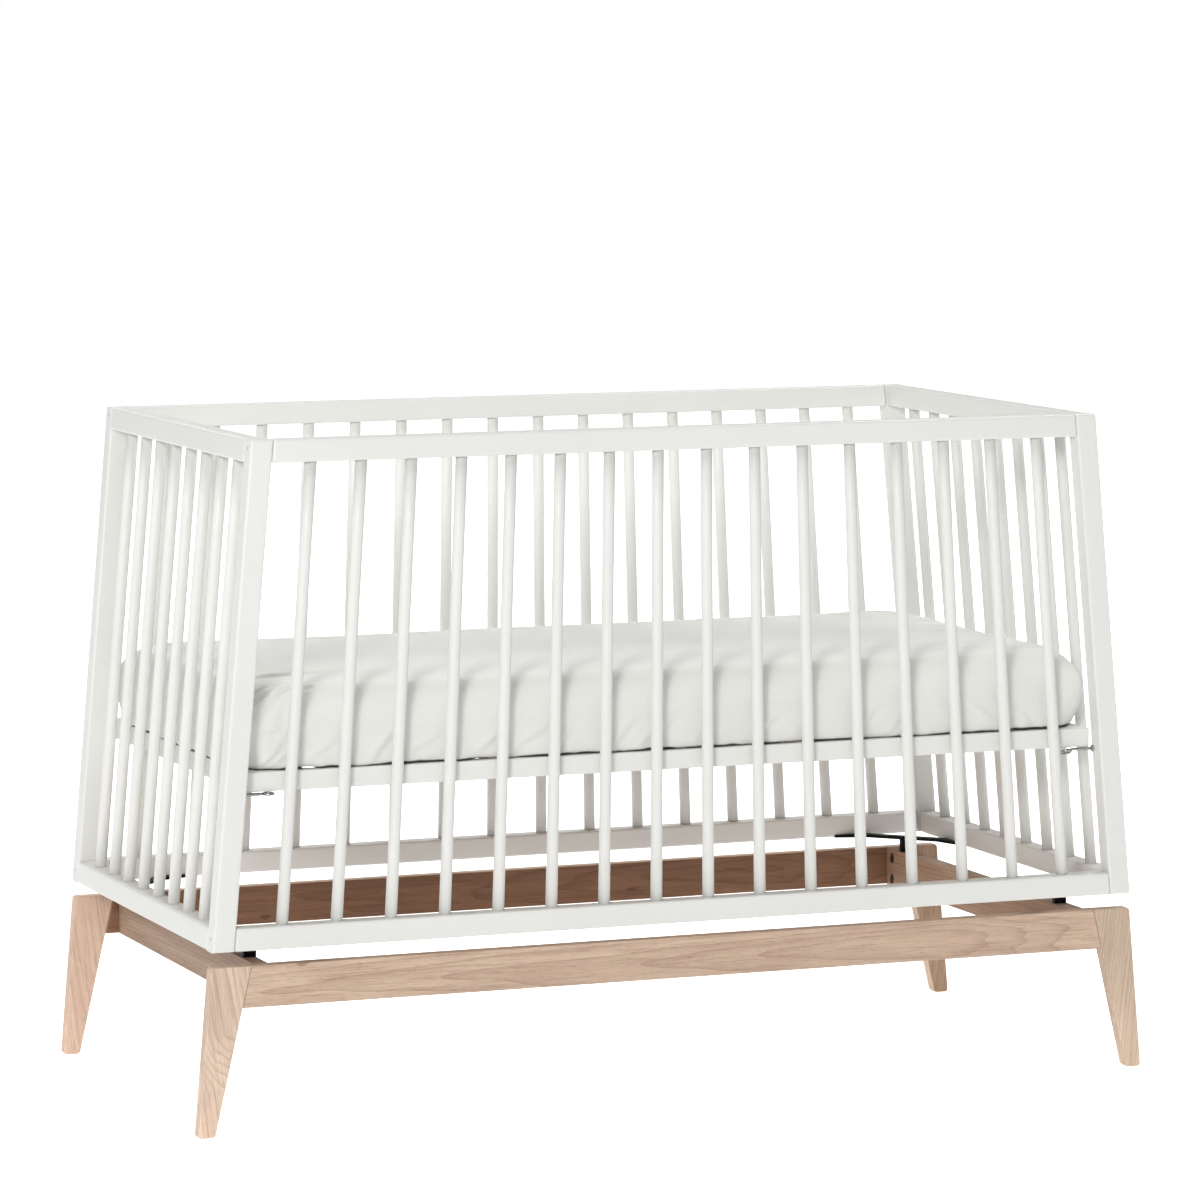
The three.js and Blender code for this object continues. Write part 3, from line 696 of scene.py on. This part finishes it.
def single_creases(x, y, up, side, top):
    """A packing crease at mid height, and what is pulled crooked near the front left corner."""
    push = side * 0.0006 * bell(up - 0.052 - 0.003 * np.sin(x * 9), 0.004)
    # one long crease on top
    line = y + 0.188 - 0.158 * (x + 0.549) + 0.0015 * np.sin(x * 70)
    inside = np.clip((-0.43 - x) / 0.05, 0, 1)
    push += top * inside * (0.0034 * bell(line, 0.0042) - 0.0026 * bell(line + 0.008, 0.0055))
    # small creases where the top turns down
    for start_x, slope, size in ((-0.560, 0.9, 1.0), (-0.535, 0.6, 0.8), (-0.512, 0.45, 0.6)):
        across = (y + 0.268) - slope * (x - start_x) * 0.5
        local = bell(x - start_x, 0.020) * bell(y + 0.270, 0.028)
        push += size * 0.0032 * local * np.sin(across * 420) * (up > 0.05)
    # short curved puckers just over the hem
    for centre_x, bow, size in ((-0.572, 1.4, 1.0), (-0.556, 1.1, 0.8), (-0.536, 0.9, 0.55)):
        curve = x - centre_x - bow * (up - 0.012) - 9.0 * (up - 0.012) ** 2
        push += side * (y < 0) * size * 0.0040 * bell(curve, 0.0035) * bell(up - 0.012, 0.013)
    return push


def keep_clear(points):
    """Holds the cover on the slats, under its highest point and clear of the dowels."""
    points[:, 2] = np.clip(points[:, 2], MATTRESS_BOTTOM + GAP, MATTRESS_TOP + PAD_RISE)
    lean_back = (LENGTH_AT_BOTTOM - LENGTH_AT_TOP) / 2 / (HEIGHT - BODY_BOTTOM)
    widest_x = (half_length(BODY_BOTTOM) - (points[:, 2] - BODY_BOTTOM) * lean_back
                - RAIL_THICKNESS / 2 - DOWEL_RADIUS - PAD_CLEAR)
    widest_y = MID_Y - DOWEL_RADIUS - PAD_CLEAR
    points[:, 0] = np.clip(points[:, 0], -widest_x, widest_x)
    points[:, 1] = np.clip(points[:, 1], -widest_y, widest_y)


def sheet_folds(mesh):
    """Moves the cover's surface into the hem, folds, pleats and creases of a fitted sheet."""
    rng = np.random.default_rng(SEED)
    co, no = coordinates(mesh), normals(mesh)
    x, y, z = co.T
    up = z - MATTRESS_BOTTOM
    side, top = np.clip(1.0 - np.abs(no[:, 2]) * 1.2, 0.0, 1.0), np.clip(no[:, 2], 0, 1)
    push, lift = hem_gather(rng, x, y, no, up)
    push -= side * 0.0036 * bell(up, 0.0042)      # tucked in sharply at the very bottom
    push += slanting_folds(rng, x, y, no, up, side)
    pleats, lift = corner_pleats(rng, x, y, up, side, lift)
    push += pleats + single_creases(x, y, up, side, top)
    # long, very shallow waves where the sheet is slack
    slack = smooth_noise(rng, x + 0.6 * y, 0.11, -2, 2) + smooth_noise(rng, x - 0.8 * y, 0.17, -2, 2)
    push += (side + top) * slack * 0.0005
    moved = co + no * push[:, None]
    moved[:, 2] += lift - 0.0030 * bell(up, 0.013)
    keep_clear(moved)
    mesh.vertices.foreach_set("co", moved.ravel())
    mesh.update()


pad = piece("mattress_cover", rounded_block("mattress_cover"), SHEET, "mattress_base")
remesh = pad.modifiers.new("remesh", "REMESH")
remesh.mode, remesh.voxel_size = "VOXEL", PAD_VOXEL
apply_modifiers(pad)
swell(pad)
smoothing = pad.modifiers.new("smooth", "SMOOTH")
smoothing.factor, smoothing.iterations = 0.5, 4
finer = pad.modifiers.new("finer", "SUBSURF")
finer.levels = finer.render_levels = 1
apply_modifiers(pad)
sheet_folds(pad.data)
pad.data.polygons.foreach_set("use_smooth", [True] * len(pad.data.polygons))
pad.data.materials.clear()
pad.data.materials.append(SHEET)
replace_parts(pad, "mattress")

# ---- floor, light and camera ----
FLOOR_REACH = 30
WORLD_LIGHT, FLOOR_LIGHT = 0.26, 0.31  # what they give off; to the camera both are plain white

floor_mesh = bpy.data.meshes.new("floor")
floor_mesh.from_pydata([(x * FLOOR_REACH, y * FLOOR_REACH, 0) for x, y in
                        ((-1, -1), (1, -1), (1, 1), (-1, 1))], [], [(0, 1, 2, 3)])
floor = new_object("floor", floor_mesh)
floor_shader = Shader("white_floor", 0.9, Specular_IOR_Level=0.1)
floor_shader.bsdf.inputs["Base Color"].default_value = (0.93, 0.93, 0.93, 1)
floor_shader.bsdf.inputs["Emission Color"].default_value = (1, 1, 1, 1)
floor_mesh.materials.append(floor_shader.material)

world = bpy.data.worlds.new("studio")
bpy.context.scene.world = world
world.use_nodes = True
background = world.node_tree.nodes["Background"].inputs
background["Color"].default_value = (1.0, 1.0, 1.0, 1)


def brighter_in_view(tree, socket, lighting, in_view):
    """A strength that is in_view where the camera sees it and lighting for the light it gives."""
    ray = tree.nodes.new("ShaderNodeLightPath")
    strength = tree.nodes.new("ShaderNodeMapRange")
    strength.inputs["To Min"].default_value, strength.inputs["To Max"].default_value = lighting, in_view
    tree.links.new(ray.outputs["Is Camera Ray"], strength.inputs["Value"])
    tree.links.new(strength.outputs[0], socket)


brighter_in_view(world.node_tree, background["Strength"], WORLD_LIGHT, 1.0)
brighter_in_view(floor_shader.tree, floor_shader.bsdf.inputs["Emission Strength"], FLOOR_LIGHT, 1.0)


LIT_POINT = Vector((0, 0, 0.5))


def softbox(name, azimuth, elevation, irradiance, size=2.6, distance=9.0):
    """A round softbox; azimuth is measured from the front towards the left end, in degrees."""
    a, e = math.radians(azimuth), math.radians(elevation)
    direction = Vector((-math.sin(a) * math.cos(e), -math.cos(a) * math.cos(e), math.sin(e)))
    data = bpy.data.lights.new(name, "AREA")
    data.shape, data.size = "DISK", size
    data.energy = irradiance * math.pi ** 2 * distance ** 2
    light = new_object(name, data)
    light.location = LIT_POINT + direction * distance
    light.rotation_euler = (-direction).to_track_quat("-Z", "Y").to_euler()


softbox("key", 35, 19, 0.39, size=2.0)
softbox("left", 100, 22, 0.115)
softbox("right", -90, 30, 0.225)
softbox("back", 180, 40, 0.32)
softbox("back_right", -135, 40, 0.20)
softbox("overhead", 30, 66, 0.155)

CAMERA_PLACE = (-2.754726, -7.072702, 1.444819)
CAMERA_YAW, CAMERA_PITCH, CAMERA_ROLL = (math.radians(a) for a in (21.322, -6.087, -0.103))
CAMERA_LENS = 167.87

forward = Vector((math.sin(CAMERA_YAW) * math.cos(CAMERA_PITCH),
                  math.cos(CAMERA_YAW) * math.cos(CAMERA_PITCH), math.sin(CAMERA_PITCH)))
level = Vector((math.cos(CAMERA_YAW), -math.sin(CAMERA_YAW), 0))
upright = level.cross(forward)
right = math.cos(CAMERA_ROLL) * level + math.sin(CAMERA_ROLL) * upright
above = -math.sin(CAMERA_ROLL) * level + math.cos(CAMERA_ROLL) * upright
camera_data = bpy.data.cameras.new("camera")
camera_data.sensor_width, camera_data.lens = 36.0, CAMERA_LENS
camera_data.clip_end = 100
camera = new_object("camera", camera_data)
turn = Matrix((right, above, -forward)).transposed().to_4x4()
camera.matrix_world = Matrix.Translation(CAMERA_PLACE) @ turn
bpy.context.scene.camera = camera
bpy.context.scene.view_settings.view_transform = "Standard"
